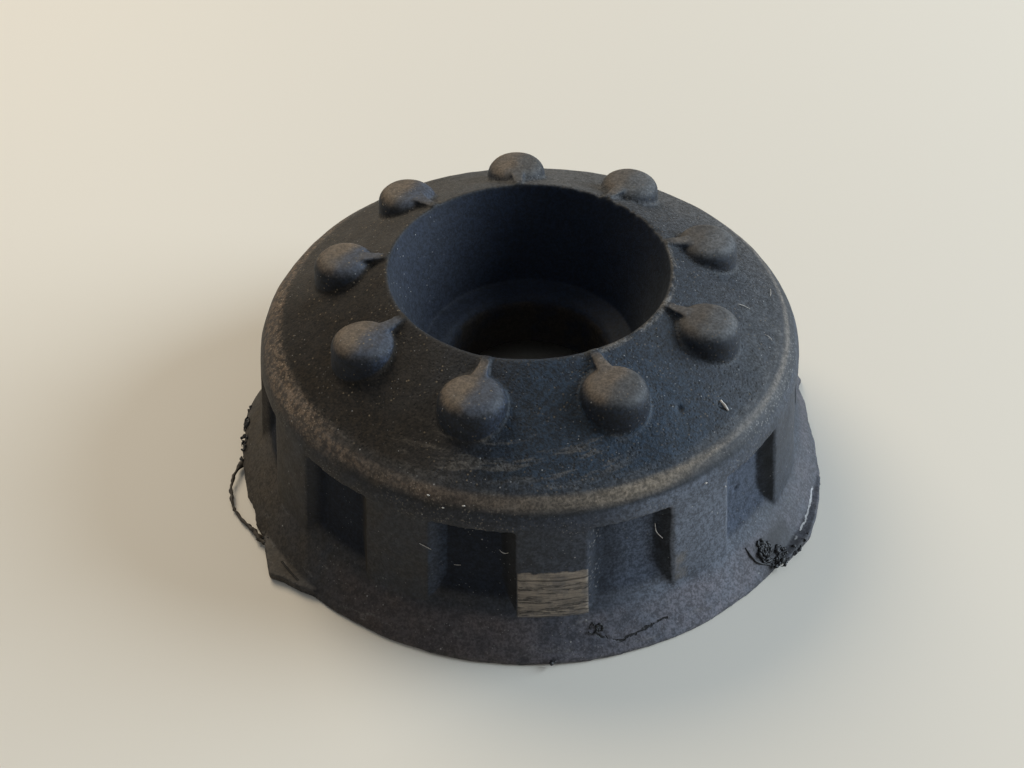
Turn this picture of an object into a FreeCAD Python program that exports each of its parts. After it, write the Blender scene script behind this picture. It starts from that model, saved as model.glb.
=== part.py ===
import FreeCAD, Part

import math
import os

import Sketcher

# Rubber seat of a coil spring: one moulded ring. Lengths are in millimetres and angles in degrees.
# The origin is on the ring's axis, on the plane that the skirt's lip stands on, and +Z points up.
# One knob is centred on +Y, and one flank pad is centred on -Y.

SIZES = [
    ("seat_radius", 45.0, "outer wall of the groove that the spring's end coil sits in"),
    ("seat_width", 13.0, "width of that groove, from its outer wall in to the hub"),
    ("seat_height", 16.0, "height of its ceiling above the standing plane"),
    ("seat_wall", 3.5, "height of the upright part of its outer wall"),
    ("hub_length", 7.2, "how far the hub reaches down below the groove's ceiling"),
    ("hub_taper", 1.2, "how much slimmer the hub is at its lower end"),
    ("ring_wall", 9.6, "from the groove's outer wall out to the pads' foot"),
    ("foot_height", 7.2, "height of the line where a pad's face meets the skirt"),
    ("skirt_flare", 5.4, "how far the lip stands out beyond the pads' foot"),
    ("lip_edge", 0.8, "height of the lip's upright outer edge"),
    ("lip_width", 2.6, "width of the lip, on the standing plane"),
    ("ring_height", 42.0, "height of the bore's sharp upper edge and of the knobs' tops"),
    ("shoulder_drop", 11.9, "fall of the conical top, from that edge to the shoulder corner"),
    ("flank_lean", 3.1, "how much narrower the ring is at the shoulder corner than at the pads' foot"),
    ("shoulder_round", 7.0, "radius of the rounded shoulder"),
    ("throat_radius", 15.9, "narrow lower part of the bore"),
    ("ledge_width", 5.1, "ledge round the throat"),
    ("ledge_height", 21.6, "height of the ledge's outer edge"),
    ("ledge_drop", 0.75, "fall of the ledge, from its outer edge to its rounded rim at the throat"),
    ("ledge_round", 2.4, "rounding of that rim"),
    ("cup_flare", 5.5, "how much wider the bore is at its upper edge than at the ledge"),
    ("pocket_drop", 4.1, "from the shoulder corner down to the pockets' overhanging ceiling"),
    ("pocket_depth", 2.6, "depth of a pocket behind the pads' faces"),
    ("flare_round", 12.0, "radius between a pocket's floor and the skirt"),
    ("pad_count", 12, "raised pads round the flank"),
    ("pad_angle", 12.8, "width of a pad's face, as an angle"),
    ("pad_root", 3.2, "how far a pad reaches down inside the skirt, below its foot"),
    ("pad_slope", 2.6, "how much a pad widens on each side down to the pocket's floor"),
    ("knob_count", 9, "knobs on the top"),
    ("knob_setback", 8.8, "from the bore's edge out to a knob's centre"),
    ("knob_radius", 5.8, "knob, at its top before rounding"),
    ("knob_spread", 0.6, "how much wider a knob is at its root"),
    ("knob_round", 2.2, "rounding of a knob's top edge"),
    ("knob_root", 9.0, "depth of a knob's root below its top"),
    ("web_width", 1.9, "thin web from a knob to the bore's edge"),
    ("torn_height", 7.0, "height of the cuts that form the torn lip"),
    ("tear_reach", 8.0, "how far those cuts run out past the lip"),
    ("tongue_height", 1.7, "thickness of the lip where it is torn loose and splayed"),
    ("cut_margin", 3.0, "how far a cut runs past the face that it opens"),
]

LIP_RADIUS = "(Sizes.seat_radius + Sizes.ring_wall + Sizes.skirt_flare)"
FOOT_RADIUS = "(Sizes.seat_radius + Sizes.ring_wall)"
SHOULDER_RADIUS = f"({FOOT_RADIUS} - Sizes.flank_lean)"
SHOULDER_HEIGHT = "(Sizes.ring_height - Sizes.shoulder_drop)"
CEILING_HEIGHT = f"({SHOULDER_HEIGHT} - Sizes.pocket_drop)"
LEDGE_RADIUS = "(Sizes.throat_radius + Sizes.ledge_width)"
MOUTH_RADIUS = f"({LEDGE_RADIUS} + Sizes.cup_flare)"
KNOB_CIRCLE = f"({MOUTH_RADIUS} + Sizes.knob_setback)"
KNOB_FOOT = "(Sizes.ring_height - Sizes.knob_root)"
HUB_RADIUS = "(Sizes.seat_radius - Sizes.seat_width)"
HUB_UNDERSIDE = "(Sizes.seat_height - Sizes.hub_length)"

# The lip is torn. Each outline is a row of (angle, step in from the lip's edge, in widths of the lip);
# a negative step lies outside it, where the rubber has splayed.
TORN_LEFT = [(154, -0.75), (156, 0.92), (160, 1.58), (165, 1.46), (168.4, 1.04), (170, 0.62), (173, 0.23),
             (177, 0.15), (180.5, 0.38), (185, 0.23), (190, 0.35), (196, 0.19), (200, 0.35), (203.5, 0.12),
             (204.5, -0.75)]
TORN_RIGHT = [(340.5, -0.75), (342, 0.08), (345.5, 0.46), (349, 0.77), (353, 1.04), (358, 0.88), (362, 1.12),
              (365, 0.73), (367, 0.19), (368, -0.75)]
TONGUE_LEFT = [(207, 0.62), (208, 0), (211.5, -0.58), (216, -1.31), (218.5, -0.77), (221.5, -0.46),
               (224.5, 0), (225.5, 0.62), (216, 0.62)]
TONGUE_RIGHT = [(315, 0.62), (316, 0), (318.5, -0.46), (321.5, -0.58), (325, -0.81), (329, -0.58),
                (334, -0.35), (339.5, -0.12), (341, 0.62), (332, 0.62), (323, 0.62)]


def make_sheet(document):
    """The driving sizes, as plain numbers with names."""
    sheet = document.addObject("Spreadsheet::Sheet", "Sizes")
    for row, (name, value, meaning) in enumerate(SIZES, start=1):
        sheet.set(f"A{row}", name)
        sheet.set(f"B{row}", str(value))
        sheet.set(f"C{row}", meaning)
        sheet.setAlias(f"B{row}", name)
    document.recompute()
    return sheet


def origin_part(body, role):
    """One of the body's own origin planes or axes."""
    return next(feature for feature in body.Origin.OriginFeatures if feature.Role == role)


def new_sketch(body, name, role):
    sketch = body.newObject("Sketcher::SketchObject", name)
    sketch.AttachmentSupport = (origin_part(body, role), [""])
    sketch.MapMode = "FlatFace"
    return sketch


def bind_distance(sketch, kind, geometry, vertex, formula):
    """Sets how far a vertex lies from the sketch's origin, along X or along Y."""
    value = float(sketch.evalExpression(formula))
    if abs(value) < 1e-9:
        axis = -2 if kind == "DistanceX" else -1
        sketch.addConstraint(Sketcher.Constraint("PointOnObject", geometry, vertex, axis))
        return
    ends = (-1, 1, geometry, vertex) if value > 0 else (geometry, vertex, -1, 1)
    index = sketch.addConstraint(Sketcher.Constraint(kind, *ends, abs(value)))
    sketch.setExpression(f"Constraints[{index}]", formula if value > 0 else f"-({formula})")


def point_at(sketch, x_formula, y_formula):
    x = float(sketch.evalExpression(x_formula))
    y = float(sketch.evalExpression(y_formula))
    return FreeCAD.Vector(x, y, 0)


def corner_arc(before, corner, after, radius):
    """The arc that rounds a corner: where it meets the two lines, its circle and its two angles."""
    arriving = (before - corner).normalize()
    leaving = (after - corner).normalize()
    half = arriving.getAngle(leaving) / 2
    reach = radius / math.tan(half)
    centre = corner + (arriving + leaving).normalize() * (radius / math.sin(half))
    meets = [corner + arriving * reach, corner + leaving * reach]
    angles = [math.atan2(point.y - centre.y, point.x - centre.x) for point in meets]
    turns_left = arriving.cross(leaving).z < 0
    circle = Part.Circle(centre, FreeCAD.Vector(0, 0, 1), radius)
    arc = Part.ArcOfCircle(circle, *(angles if turns_left else reversed(angles)))
    return meets, arc, (1, 2) if turns_left else (2, 1)


def draw_outline(sketch, corners):
    """A closed outline. A corner is a pair of formulas, for X and for Y, with a third for the
    radius where the corner is rounded."""
    count = len(corners)
    points = [point_at(sketch, *corner[:2]) for corner in corners]
    arrivals, departures, arcs = list(points), list(points), {}
    for number, corner in enumerate(corners):
        if len(corner) == 3:
            radius = float(sketch.evalExpression(corner[2]))
            following = points[(number + 1) % count]
            meets, arc, ends = corner_arc(points[number - 1], points[number], following, radius)
            arrivals[number], departures[number] = meets
            arcs[number] = (arc, ends, radius)
    for number in range(count):
        line = Part.LineSegment(departures[number], arrivals[(number + 1) % count])
        sketch.addGeometry(line, False)
    for number, (x_formula, y_formula, *rounding) in enumerate(corners):
        if not rounding:
            sketch.addConstraint(Sketcher.Constraint("Coincident", (number - 1) % count, 2, number, 1))
            bind_distance(sketch, "DistanceX", number, 1, x_formula)
            bind_distance(sketch, "DistanceY", number, 1, y_formula)
            continue
        arc, ends, radius = arcs[number]
        curve = sketch.addGeometry(arc, False)
        mark = sketch.addGeometry(Part.Point(points[number]), True)
        bind_distance(sketch, "DistanceX", mark, 1, x_formula)
        bind_distance(sketch, "DistanceY", mark, 1, y_formula)
        sketch.addConstraint(Sketcher.Constraint("PointOnObject", mark, 1, (number - 1) % count))
        sketch.addConstraint(Sketcher.Constraint("PointOnObject", mark, 1, number))
        sketch.addConstraint(Sketcher.Constraint("Tangent", (number - 1) % count, 2, curve, ends[0]))
        sketch.addConstraint(Sketcher.Constraint("Tangent", curve, ends[1], number, 1))
        index = sketch.addConstraint(Sketcher.Constraint("Radius", curve, radius))
        sketch.setExpression(f"Constraints[{index}]", rounding[0])


def turn_about_z(body, kind, name, sketch):
    """A full revolution, or a groove, about the ring's axis."""
    feature = body.newObject(kind, name)
    feature.Profile = sketch
    feature.ReferenceAxis = (sketch, ["V_Axis"])
    feature.Angle = 360
    sketch.Visibility = False
    return feature


def repeat_about_z(body, name, features, count_name):
    pattern = body.newObject("PartDesign::PolarPattern", name)
    pattern.Originals = features
    pattern.Axis = (origin_part(body, "Z_Axis"), [""])
    pattern.Angle = 360
    pattern.setExpression("Occurrences", f"Sizes.{count_name}")
    body.Tip = pattern
    return pattern


# The flank is a cone from the foot to the shoulder corner, and the pockets' floor lies one depth behind it.
FLANK_SLOPE = f"(Sizes.flank_lean / ({SHOULDER_HEIGHT} - Sizes.foot_height))"
SKIRT_SLOPE = "(Sizes.skirt_flare / (Sizes.foot_height - Sizes.lip_edge))"


def flank_radius(height):
    return f"({FOOT_RADIUS} - ({height} - Sizes.foot_height) * {FLANK_SLOPE})"


def make_outer_form(body):
    """The ring's outer form, still solid inside: skirt, pocket floor, shoulder and the conical top."""
    sketch = new_sketch(body, "half_section", "XZ_Plane")
    floor_rise = f"(Sizes.pocket_depth / ({SKIRT_SLOPE} - {FLANK_SLOPE}))"
    flare_height = f"(Sizes.foot_height + {floor_rise})"
    flare_radius = f"({FOOT_RADIUS} - {floor_rise} * {SKIRT_SLOPE})"
    ceiling_radius = flank_radius(CEILING_HEIGHT)
    draw_outline(sketch, [
        ("0", "0"),
        (LIP_RADIUS, "0"),
        (LIP_RADIUS, "Sizes.lip_edge"),
        (flare_radius, flare_height, "Sizes.flare_round"),
        (f"({ceiling_radius} - Sizes.pocket_depth)", CEILING_HEIGHT),
        (ceiling_radius, CEILING_HEIGHT),
        (SHOULDER_RADIUS, SHOULDER_HEIGHT, "min(Sizes.shoulder_round; 1.7 * Sizes.pocket_drop)"),
        (MOUTH_RADIUS, "Sizes.ring_height"),
        ("0", "Sizes.ring_height"),
    ])
    return turn_about_z(body, "PartDesign::Revolution", "outer_form", sketch)


def draw_pad_section(sketch, height):
    """Plan of a pad at one height: a conical face, and sides that slope to just behind the pocket's floor."""
    face = flank_radius(height)
    half = "(Sizes.pad_angle * 1 deg / 2)"
    across = f"{face} * sin{half}"
    forward = f"{face} * cos{half}"
    spread = f"({across} + 1.4 * Sizes.pad_slope)"
    inner = f"({forward} - 1.4 * Sizes.pocket_depth)"
    corners = [(across, forward), (f"-{across}", forward), (f"-{spread}", inner), (spread, inner)]
    points = [point_at(sketch, *corner) for corner in corners]
    turn = math.atan2(points[0].x, points[0].y)
    circle = Part.Circle(FreeCAD.Vector(0, 0, 0), FreeCAD.Vector(0, 0, 1), points[0].Length)
    sketch.addGeometry(Part.ArcOfCircle(circle, math.pi / 2 - turn, math.pi / 2 + turn), False)
    for number in range(1, len(points)):
        sketch.addGeometry(Part.LineSegment(points[number], points[(number + 1) % len(points)]), False)
    sketch.addConstraint(Sketcher.Constraint("Coincident", 0, 3, -1, 1))
    for number in range(len(points)):
        following = (number + 1) % len(points)
        sketch.addConstraint(Sketcher.Constraint("Coincident", number, 2, following, 1))
    bind_distance(sketch, "DistanceX", 0, 1, corners[0][0])
    bind_distance(sketch, "DistanceY", 0, 1, corners[0][1])
    bind_distance(sketch, "DistanceX", 0, 2, corners[1][0])
    for number in (2, 3):
        bind_distance(sketch, "DistanceX", number, 1, corners[number][0])
        bind_distance(sketch, "DistanceY", number, 1, corners[number][1])


def make_pads(body):
    """Raised pads between the pockets, each a loft from inside the skirt up to the shoulder."""
    sections = []
    for name, height in (("pad_foot", "(Sizes.foot_height - Sizes.pad_root)"), ("pad_head", CEILING_HEIGHT)):
        sketch = new_sketch(body, name, "XY_Plane")
        sketch.setExpression("AttachmentOffset.Base.z", height)
        draw_pad_section(sketch, height)
        sketch.Visibility = False
        sections.append(sketch)
    pad = body.newObject("PartDesign::AdditiveLoft", "flank_pad")
    pad.Profile = sections[0]
    pad.Sections = [sections[1]]
    pad.Ruled = True
    return repeat_about_z(body, "flank_pads", [pad], "pad_count")


def stepped_rim(edge, side, top, rounding):
    """Corners on a quarter of a circle, from an upright wall up to a flat top. Turned, they give three
    narrow cones, a lighter mesh than an arc gives where a rim is small or repeated."""
    rim = []
    for turn in (0, 30, 60, 90):
        across = f"(1 - cos({turn} deg)) * {rounding}"
        down = f"(1 - sin({turn} deg)) * {rounding}"
        rim.append((f"({edge} {side} {across})", f"({top} - {down})"))
    return rim


def make_knobs(body):
    """Knobs with rounded rims, each with a thin web that runs in to the bore's edge."""
    profile = new_sketch(body, "knob_profile", "YZ_Plane")
    edge = f"({KNOB_CIRCLE} + Sizes.knob_radius)"
    rim = stepped_rim(edge, "-", "Sizes.ring_height", "min(Sizes.knob_round; 0.8 * Sizes.knob_radius)")
    draw_outline(profile, [
        (KNOB_CIRCLE, KNOB_FOOT),
        (f"({edge} + Sizes.knob_spread)", KNOB_FOOT),
        *rim,
        (KNOB_CIRCLE, "Sizes.ring_height"),
    ])
    foot = point_at(profile, KNOB_CIRCLE, KNOB_FOOT)
    top = point_at(profile, KNOB_CIRCLE, "Sizes.ring_height")
    line = profile.addGeometry(Part.LineSegment(foot, top), True)
    profile.addConstraint(Sketcher.Constraint("Coincident", line, 1, 0, 1))
    profile.addConstraint(Sketcher.Constraint("Coincident", line, 2, len(rim) + 2, 1))
    knob = body.newObject("PartDesign::Revolution", "knob")
    knob.Profile = profile
    knob.ReferenceAxis = (profile, ["Axis0"])
    knob.Angle = 360
    profile.Visibility = False
    side = new_sketch(body, "web_side", "YZ_Plane")
    web_start = f"({MOUTH_RADIUS} - Sizes.cut_margin)"
    draw_outline(side, [
        (web_start, KNOB_FOOT),
        (KNOB_CIRCLE, KNOB_FOOT),
        (KNOB_CIRCLE, "Sizes.ring_height"),
        (web_start, "Sizes.ring_height"),
    ])
    web = body.newObject("PartDesign::Pad", "web")
    web.Profile = side
    web.setExpression("Length", "Sizes.web_width")
    web.Midplane = True
    side.Visibility = False
    return repeat_about_z(body, "knobs_and_webs", [knob, web], "knob_count")


def make_underside(body):
    """The hollow under the ring: inside of the lip, the spring's groove and the hub's lower end."""
    sketch = new_sketch(body, "underside_section", "XZ_Plane")
    lip_inside = f"({LIP_RADIUS} - Sizes.lip_width)"
    draw_outline(sketch, [
        ("0", "-Sizes.cut_margin"),
        (lip_inside, "-Sizes.cut_margin"),
        (lip_inside, "0"),
        ("Sizes.seat_radius", "(Sizes.seat_height - Sizes.seat_wall)"),
        ("Sizes.seat_radius", "Sizes.seat_height"),
        (HUB_RADIUS, "Sizes.seat_height"),
        (f"({HUB_RADIUS} - Sizes.hub_taper)", HUB_UNDERSIDE),
        ("0", HUB_UNDERSIDE),
    ])
    return turn_about_z(body, "PartDesign::Groove", "underside", sketch)


def make_bore(body):
    """The bore: a conical cup, a ledge and a narrower throat."""
    sketch = new_sketch(body, "bore_section", "XZ_Plane")
    low_end = f"({HUB_UNDERSIDE} - Sizes.cut_margin)"
    high_end = "(Sizes.ring_height + Sizes.cut_margin)"
    rim_top = "(Sizes.ledge_height - Sizes.ledge_drop)"
    rounding = "min(Sizes.ledge_round; 0.8 * Sizes.ledge_width)"
    draw_outline(sketch, [
        ("0", low_end),
        ("Sizes.throat_radius", low_end),
        *stepped_rim("Sizes.throat_radius", "+", rim_top, rounding),
        (LEDGE_RADIUS, "Sizes.ledge_height"),
        (MOUTH_RADIUS, "Sizes.ring_height"),
        (MOUTH_RADIUS, high_end),
        ("0", high_end),
    ])
    return turn_about_z(body, "PartDesign::Groove", "bore", sketch)


def draw_lip_outline(sketch, outline):
    """A closed outline from (angle, step) pairs; a step is counted inwards in widths of the lip."""
    corners = []
    for angle, step in outline:
        along = f"({LIP_RADIUS} - ({step}) * Sizes.lip_width)"
        corners.append((f"({along} * cos({angle} deg))", f"({along} * sin({angle} deg))"))
    draw_outline(sketch, corners)


def tear_lip(body):
    """Two stretches where the lip is torn away, and two tongues where it has splayed outwards."""
    beyond = "-Sizes.tear_reach / Sizes.lip_width"
    for name, outline in (("torn_left", TORN_LEFT), ("torn_right", TORN_RIGHT)):
        sketch = new_sketch(body, f"{name}_outline", "XY_Plane")
        draw_lip_outline(sketch, outline + [(outline[-1][0], beyond), (outline[0][0], beyond)])
        cut = body.newObject("PartDesign::Pocket", name)
        cut.Profile = sketch
        cut.setExpression("Length", "Sizes.torn_height")
        cut.Reversed = True
        sketch.Visibility = False
        body.Tip = cut
    for name, outline in (("tongue_left", TONGUE_LEFT), ("tongue_right", TONGUE_RIGHT)):
        sketch = new_sketch(body, f"{name}_outline", "XY_Plane")
        draw_lip_outline(sketch, outline)
        tongue = body.newObject("PartDesign::Pad", name)
        tongue.Profile = sketch
        tongue.setExpression("Length", "Sizes.tongue_height")
        sketch.Visibility = False
        body.Tip = tongue


def make_mount(document):
    body = document.addObject("PartDesign::Body", "spring_mount")
    body.Label = "spring_mount"
    make_outer_form(body)
    make_pads(body)
    make_knobs(body)
    make_underside(body)
    make_bore(body)
    document.recompute()
    whole = body.Shape.Volume
    tear_lip(body)
    document.recompute()
    print("volume before and after the tears:", round(whole), round(body.Shape.Volume))
    return body


def check_document(document, bodies):
    """Stops the script if any object failed, or if a body isn't one valid solid."""
    for item in document.Objects:
        if "Invalid" in item.State or "Error" in item.State:
            raise RuntimeError(f"{item.Label} failed: {item.State}")
    for body in bodies:
        if body.Shape.isNull() or not body.Shape.isValid() or len(body.Shape.Solids) != 1:
            raise RuntimeError(f"{body.Label} isn't one valid solid")


def main():
    document = FreeCAD.newDocument("rubber_mount")
    make_sheet(document)
    bodies = [make_mount(document)]
    document.recompute()
    check_document(document, bodies)
    os.makedirs("parts", exist_ok=True)
    for body in bodies:
        body.Shape.exportStep(f"parts/{body.Label}.step")
        box = body.Shape.BoundBox
        print(body.Label, round(box.XLength, 2), round(box.YLength, 2), round(box.ZLength, 2))


main()
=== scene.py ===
# %% [markdown]
# # Rubber seat of a coil spring
#
# The real part is one piece of black rubber, pressed in a mould. It sits between a coil spring and the car
# body. It is a ring with a flared skirt, raised pads round its flank, and knobs on its conical top.
# The frame is the construction model. It gives the place and the size of everything that follows, and the new
# pieces are dressed over it without moving it.

import math
import random

import bmesh
import bpy
import numpy as np
from mathutils import Matrix, Vector, noise
from mathutils.bvhtree import BVHTree


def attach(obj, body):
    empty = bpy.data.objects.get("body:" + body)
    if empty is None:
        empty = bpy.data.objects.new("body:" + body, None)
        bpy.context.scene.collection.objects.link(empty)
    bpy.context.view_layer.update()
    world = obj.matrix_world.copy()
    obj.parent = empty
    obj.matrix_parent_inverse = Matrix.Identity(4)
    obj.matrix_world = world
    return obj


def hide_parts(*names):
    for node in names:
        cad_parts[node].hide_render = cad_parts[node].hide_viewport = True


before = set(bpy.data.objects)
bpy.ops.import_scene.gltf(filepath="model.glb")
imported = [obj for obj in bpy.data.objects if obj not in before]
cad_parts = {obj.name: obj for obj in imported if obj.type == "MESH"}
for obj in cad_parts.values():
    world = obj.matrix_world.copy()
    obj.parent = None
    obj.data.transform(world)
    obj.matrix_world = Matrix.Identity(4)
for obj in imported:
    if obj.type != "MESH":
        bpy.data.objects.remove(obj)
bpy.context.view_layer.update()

# %% [markdown]
# ## Camera
#
# The photograph was taken by hand from about 26 cm, a little above the ring. A camera could be placed by eye,
# but a perspective that is slightly wrong shows at once in ellipses. So its place and angle come from fitting
# the bore's edge, the knobs and the lip to the picture.

# %% Camera
scene = bpy.context.scene
camera = bpy.data.objects.new("camera", bpy.data.cameras.new("camera"))
scene.collection.objects.link(camera)
camera.data.lens = 43.383
camera.data.sensor_width = 36
camera.data.clip_start = 0.01


def turned_about(axis, degrees):
    return Matrix.Rotation(math.radians(degrees), 4, axis)


aim = turned_about("Z", -3.1) @ turned_about("X", 46.99) @ turned_about("Z", -0.99)
camera.matrix_world = Matrix.Translation((-0.01345, -0.18336, 0.18287)) @ aim
scene.camera = camera
print("camera at", [round(value, 3) for value in camera.matrix_world.translation])

# %% [markdown]
# ## Turned body
#
# A ring like this is a section turned about an axis. A lathe modifier could do it, but the spin operator leaves
# a mesh that the next steps can cut. All shapes are drawn in millimetres, as on a maker's drawing, and come
# down to metres at the end. A corner with a rounding is cut by a vertex bevel while the section is still flat.


# %% Turned section
BORE = 26.5  # radius of the bore's upper edge
TOP = 42  # height of the cone at that edge, and of the knobs
CONE_FALL = 0.476  # what the cone falls per millimetre outwards
KNOBS = 9
KNOB_CIRCLE = 35.3  # radius that the knobs' middles stand on
LIP = 60  # radius of the whole lip


def turned_section(corners, steps, centre=(0, 0)):
    """A solid turned about an upright axis, from corners given as (radius, height, rounding)."""
    bm = bmesh.new()
    verts = [bm.verts.new((centre[0] + radius, centre[1], height)) for radius, height, _ in corners]
    places = [vert.co.copy() for vert in verts]
    bm.faces.new(verts)
    for number, (_, _, rounding) in enumerate(corners):
        if rounding:
            before = places[number - 1] - places[number]
            after = places[(number + 1) % len(places)] - places[number]
            reach = rounding / math.tan(before.angle(after) / 2)
            bmesh.ops.bevel(bm, geom=[verts[number]], offset=reach, offset_type="OFFSET", segments=8,
                            profile=0.5, affect="VERTICES", material=-1)
    bmesh.ops.delete(bm, geom=bm.faces[:], context="FACES_ONLY")
    bmesh.ops.spin(bm, geom=bm.verts[:] + bm.edges[:], cent=(*centre, 0), axis=(0, 0, 1), angle=math.tau,
                   steps=steps, use_merge=True)
    bmesh.ops.remove_doubles(bm, verts=bm.verts[:], dist=0.0001)
    bmesh.ops.delete(bm, geom=[edge for edge in bm.edges if edge.is_wire], context="EDGES")
    bmesh.ops.recalc_face_normals(bm, faces=bm.faces[:])
    return bm


# %% Ring
ring = turned_section([
    (57.4, 0, 0), (LIP, 0, 0), (LIP, 0.8, 0), (51.503, 10.87, 12), (49.455, 26, 0), (52.055, 26, 0),
    (51.5, 30.1, 6.9), (BORE, TOP, 0), (21, 21.6, 0), (15.9, 20.18, 2.4), (15.9, 8.8, 0.6), (30.8, 8.8, 0.8),
    (32, 16, 0.8), (45, 16, 0.8), (45, 12.5, 0)], steps=288)
print("ring:", len(ring.faces), "faces")

# %% [markdown]
# ## Pads round the flank
#
# Twelve raised pads grip the part that the seat is pushed into. A pad is a slice of the flank's cone. A short
# radial edge is spun through the pad's angle, and the slice is then extruded up and drawn in, because the flank
# leans inwards. The foot starts inside the flared skirt, which cuts it off square.


# %% Flank pads
def flank_pads(count=12, width=12.8, foot=6.6, head=26.6, foot_radius=54.68, head_radius=51.97, depth=3.4):
    bm = bmesh.new()
    ends = [bm.verts.new((radius, 0, foot)) for radius in (foot_radius - depth, foot_radius)]
    edge = bm.edges.new(ends)
    bmesh.ops.rotate(bm, verts=ends, matrix=turned_about("Z", -width / 2))
    bmesh.ops.spin(bm, geom=ends + [edge], axis=(0, 0, 1), angle=math.radians(width), steps=8)
    inner = [vert for vert in bm.verts if vert.co.xy.length < foot_radius - depth / 2]
    bmesh.ops.scale(bm, verts=inner, vec=(1, 1.6, 1))
    top = bmesh.ops.extrude_face_region(bm, geom=bm.faces[:])["geom"]
    raised = [item for item in top if isinstance(item, bmesh.types.BMVert)]
    shrink = head_radius / foot_radius
    bmesh.ops.scale(bm, verts=raised, vec=(shrink, shrink, 1))
    bmesh.ops.translate(bm, verts=raised, vec=(0, 0, head - foot))
    bmesh.ops.recalc_face_normals(bm, faces=bm.faces[:])
    bmesh.ops.spin(bm, geom=bm.verts[:] + bm.edges[:] + bm.faces[:], axis=(0, 0, 1),
                   angle=math.tau * (count - 1) / count, steps=count - 1, use_duplicate=True)
    return bm


pads = flank_pads()
print("pads:", len(pads.faces), "faces")

# %% [markdown]
# ## Knobs and webs
#
# Nine knobs stand on the cone, and a thin web joins each to the bore's edge, so that the rubber can flow into the
# mould's knob holes and let the air out. A knob is another turned section, about its own axis. Its top is
# a little domed, as worn rubber is.


# %% Knobs and webs
def knobs_and_webs():
    dome = [(0, TOP, 0), (5.8, 41.3, 2.9), (6.4, 33, 0), (0, 33, 0)]
    bm = turned_section(dome, steps=56, centre=(0, KNOB_CIRCLE))
    web = bmesh.ops.create_cube(bm, size=1)["verts"]
    bmesh.ops.scale(bm, verts=web, vec=(2.9, 5.2, 9.2))
    bmesh.ops.translate(bm, verts=web, vec=(0, 29.2, 37.6))
    for vert in web:  # thinner at the bore's edge, and a little lower than the knob at its own end
        if vert.co.y < 29:
            vert.co.x *= 0.50
        elif vert.co.z > 40:
            vert.co.z = 41.75
    bmesh.ops.spin(bm, geom=bm.verts[:] + bm.edges[:] + bm.faces[:], axis=(0, 0, 1),
                   angle=math.tau * (KNOBS - 1) / KNOBS, steps=KNOBS - 1, use_duplicate=True)
    return bm


knobs = knobs_and_webs()
print("knobs and webs:", len(knobs.faces), "faces")

# %% [markdown]
# ## Splayed lip
#
# On two stretches the lip has torn loose and lies splayed on the floor. A tongue is its outline, seen from
# above, extruded to the lip's thickness. The voxel step that follows melts it into the ring.

# %% Tongues
TONGUE_LEFT = [(207, 58.4), (208, 60), (211.5, 61.5), (216, 63.4), (218.5, 62.0), (221.5, 61.2), (224.5, 60),
               (225.5, 58.4), (216, 58.4)]
TONGUE_RIGHT = [(315, 58.4), (316, 60), (318.5, 61.2), (321.5, 61.5), (325, 62.1), (329, 61.5), (334, 60.9),
                (339.5, 60.3), (341, 58.4), (332, 58.4), (323, 58.4)]


def on_circle(angle, radius, height=0.0):
    """A point by its angle in degrees, its radius and its height."""
    turn = math.radians(angle)
    return Vector((radius * math.cos(turn), radius * math.sin(turn), height))


def tongue(outline, thickness=1.7):
    bm = bmesh.new()
    face = bm.faces.new([bm.verts.new(on_circle(angle, radius)) for angle, radius in outline])
    top = bmesh.ops.extrude_face_region(bm, geom=[face])["geom"]
    raised = [item for item in top if isinstance(item, bmesh.types.BMVert)]
    bmesh.ops.translate(bm, verts=raised, vec=(0, 0, thickness))
    bmesh.ops.recalc_face_normals(bm, faces=bm.faces[:])
    return bm


tongues = [tongue(TONGUE_LEFT), tongue(TONGUE_RIGHT)]

# %% [markdown]
# ## One moulded skin
#
# The pieces so far only overlap. Booleans could join them, but they leave knife edges, and moulded rubber has
# none. A voxel remesh makes one closed skin with small even blends. Its grid leaves steps on sloping faces, so
# the skin is relaxed, drawn back on to the faces that it came from, which sharpens its edges, and relaxed once
# more. The triangles that flat places don't need are taken out last.


# %% Join and remesh
def joined(*parts):
    """One bmesh of several, which are freed."""
    whole = bmesh.new()
    for part in parts:
        mesh = bpy.data.meshes.new("part")
        part.to_mesh(mesh)
        part.free()
        whole.from_mesh(mesh)
        bpy.data.meshes.remove(mesh)
    return whole


def through_modifier(bm, kind, **settings):
    """The mesh that a modifier makes of a bmesh, as a new bmesh."""
    mesh = bpy.data.meshes.new("work")
    bm.to_mesh(mesh)
    bm.free()
    work = bpy.data.objects.new("work", mesh)
    scene.collection.objects.link(work)
    modifier = work.modifiers.new("work", kind)
    for name, value in settings.items():
        setattr(modifier, name, value)
    seen = work.evaluated_get(bpy.context.evaluated_depsgraph_get())
    made = bpy.data.meshes.new_from_object(seen)
    bpy.data.objects.remove(work)
    bpy.data.meshes.remove(mesh)
    result = bmesh.new()
    result.from_mesh(made)
    bpy.data.meshes.remove(made)
    return result


def relaxed(bm, factor, rounds):
    for _ in range(rounds):
        bmesh.ops.smooth_vert(bm, verts=bm.verts[:], factor=factor, use_axis_x=True, use_axis_y=True,
                              use_axis_z=True)


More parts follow.
